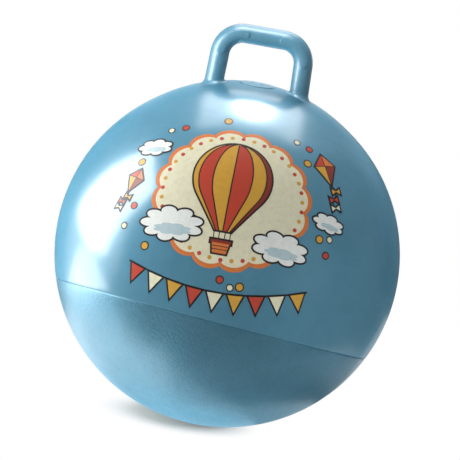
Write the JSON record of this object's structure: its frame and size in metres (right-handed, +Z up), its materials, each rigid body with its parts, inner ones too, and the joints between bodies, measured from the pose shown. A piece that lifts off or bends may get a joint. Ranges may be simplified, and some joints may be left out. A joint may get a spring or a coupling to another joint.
{
  "type": "hopper ball",
  "caption": "Blown-up vinyl bouncing ball with a loop handle moulded on its crown, a grained base below a parting line, and a push-in valve plug between the handle's legs.",
  "frame": {"origin": "centre of the flat under the ball, on the ground", "axes": "+Z up along the handle's axis, +X along the handle's bar, the decorated side of the ball faces -Y"},
  "size_m": [0.45, 0.45, 0.5242],
  "materials": {
    "smooth_vinyl": "glossy pearly blue vinyl",
    "grained_vinyl": "satin blue vinyl with a fine leather grain",
    "handle_vinyl": "satin blue vinyl with a fine grain",
    "seat_vinyl": "satin blue vinyl",
    "plug_vinyl": "satin blue plastic"
  },
  "bodies": {
    "ball": {"upper_skin": "smooth_vinyl", "lower_skin": "grained_vinyl", "handle": "handle_vinyl", "valve_seat": "seat_vinyl"},
    "plug": {"valve_plug": "plug_vinyl"}
  },
  "joints": [
    {"name": "plug_pull", "type": "slide", "parent": "ball", "child": "plug", "axis": [0, 0, 1], "range_m": [0, 0.03]}
  ]
}
